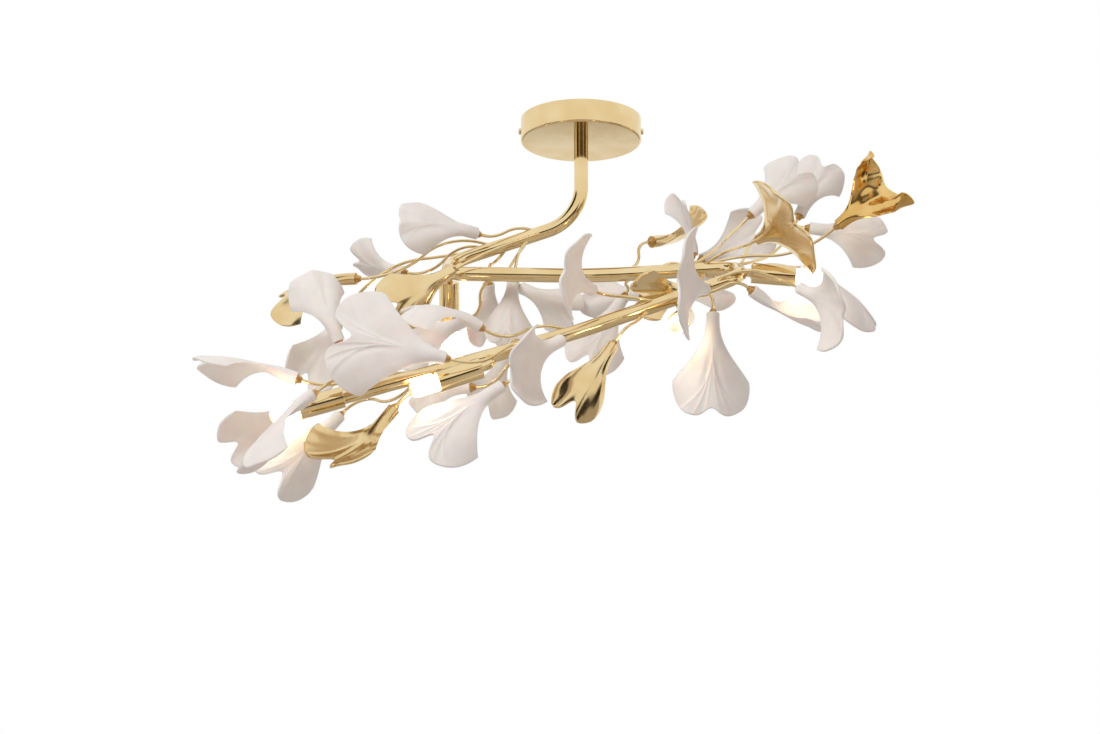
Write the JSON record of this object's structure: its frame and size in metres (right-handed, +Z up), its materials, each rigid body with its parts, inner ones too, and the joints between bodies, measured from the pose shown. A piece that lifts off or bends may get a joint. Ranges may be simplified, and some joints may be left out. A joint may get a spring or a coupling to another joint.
{
  "type": "branch ceiling light",
  "caption": "Semi-flush ceiling light: a bent brass tube branch under a round canopy, with capsule lamps in cups and porcelain and gold leaves on thin stems.",
  "frame": {"origin": "on the ceiling, at the middle of the canopy and of the bracket's upper face", "axes": "+Z up into the ceiling, +X along the branch to its upper end, -Y towards the viewer"},
  "size_m": [0.682, 0.3109, 0.4031],
  "materials": {
    "polished_brass": "polished gold plate",
    "gilt": "polished gold plate",
    "nut_brass": "turned, browned",
    "porcelain": "matte bisque",
    "ceramic": "unglazed",
    "lamp_glass": "frosted",
    "plated_steel": "zinc plated",
    "terminal_plastic": "moulded",
    "lead_insulation": "extruded"
  },
  "bodies": {
    "fixture": {"canopy": "polished_brass", "ceiling_bracket": "plated_steel", "front_tube": "polished_brass", "gold_leaf_1": "gilt", "gold_leaf_2": "gilt", "gold_leaf_3": "gilt", "gold_leaf_4": "gilt", "gold_leaf_5": "gilt", "gold_leaf_6": "gilt", "gold_leaf_7": "gilt", "gold_leaf_8": "gilt", "lamp_arms": "polished_brass", "lamp_cups": "polished_brass", "lamp_holders": "ceramic", "leaf_nuts": "nut_brass", "leaf_stems": "polished_brass", "middle_tube": "polished_brass", "nipple_fasteners": "plated_steel", "stem_nipple": "plated_steel", "stem_tube": "polished_brass", "supply_lead": "lead_insulation", "terminal_block": "terminal_plastic", "white_leaf_01": "porcelain", "white_leaf_02": "porcelain", "white_leaf_03": "porcelain", "white_leaf_04": "porcelain", "white_leaf_05": "porcelain", "white_leaf_06": "porcelain", "white_leaf_07": "porcelain", "white_leaf_08": "porcelain", "white_leaf_09": "porcelain", "white_leaf_10": "porcelain", "white_leaf_11": "porcelain", "white_leaf_12": "porcelain", "white_leaf_13": "porcelain", "white_leaf_14": "porcelain", "white_leaf_15": "porcelain", "white_leaf_16": "porcelain", "white_leaf_17": "porcelain", "white_leaf_18": "porcelain", "white_leaf_19": "porcelain", "white_leaf_20": "porcelain", "white_leaf_21": "porcelain", "white_leaf_22": "porcelain", "white_leaf_23": "porcelain", "white_leaf_24": "porcelain", "white_leaf_25": "porcelain", "white_leaf_26": "porcelain", "white_leaf_27": "porcelain", "white_leaf_28": "porcelain", "white_leaf_29": "porcelain", "white_leaf_30": "porcelain", "white_leaves_behind_tube": "porcelain"},
    "bulb_1": {"bulb_1": "lamp_glass"},
    "bulb_2": {"bulb_2": "lamp_glass"},
    "bulb_3": {"bulb_3": "lamp_glass"},
    "bulb_4": {"bulb_4": "lamp_glass"},
    "bulb_5": {"bulb_5": "lamp_glass"},
    "canopy_screw_left": {"canopy_screw_left": "polished_brass"},
    "canopy_screw_right": {"canopy_screw_right": "polished_brass"}
  },
  "joints": [
    {"name": "bulb_1_pull_out", "type": "slide", "parent": "fixture", "child": "bulb_1", "axis": [-0.9502, -0.088, -0.2991], "range_m": [0, 0.01]},
    {"name": "bulb_2_pull_out", "type": "slide", "parent": "fixture", "child": "bulb_2", "axis": [-0.9344, -0.1005, -0.3416], "range_m": [0, 0.01]},
    {"name": "bulb_3_pull_out", "type": "slide", "parent": "fixture", "child": "bulb_3", "axis": [0.9966, 0.0366, -0.0732], "range_m": [0, 0.01]},
    {"name": "bulb_4_pull_out", "type": "slide", "parent": "fixture", "child": "bulb_4", "axis": [-0.1798, -0.8989, -0.3995], "range_m": [0, 0.01]},
    {"name": "bulb_5_pull_out", "type": "slide", "parent": "fixture", "child": "bulb_5", "axis": [0, 0.4775, -0.8786], "range_m": [0, 0.01]},
    {"name": "canopy_screw_left_turn", "type": "hinge", "parent": "fixture", "child": "canopy_screw_left", "pos_m": [-0.06, 0, -0.012], "axis": [-1, 0, 0], "continuous": true},
    {"name": "canopy_screw_right_turn", "type": "hinge", "parent": "fixture", "child": "canopy_screw_right", "pos_m": [0.06, 0, -0.012], "axis": [1, 0, 0], "continuous": true}
  ]
}
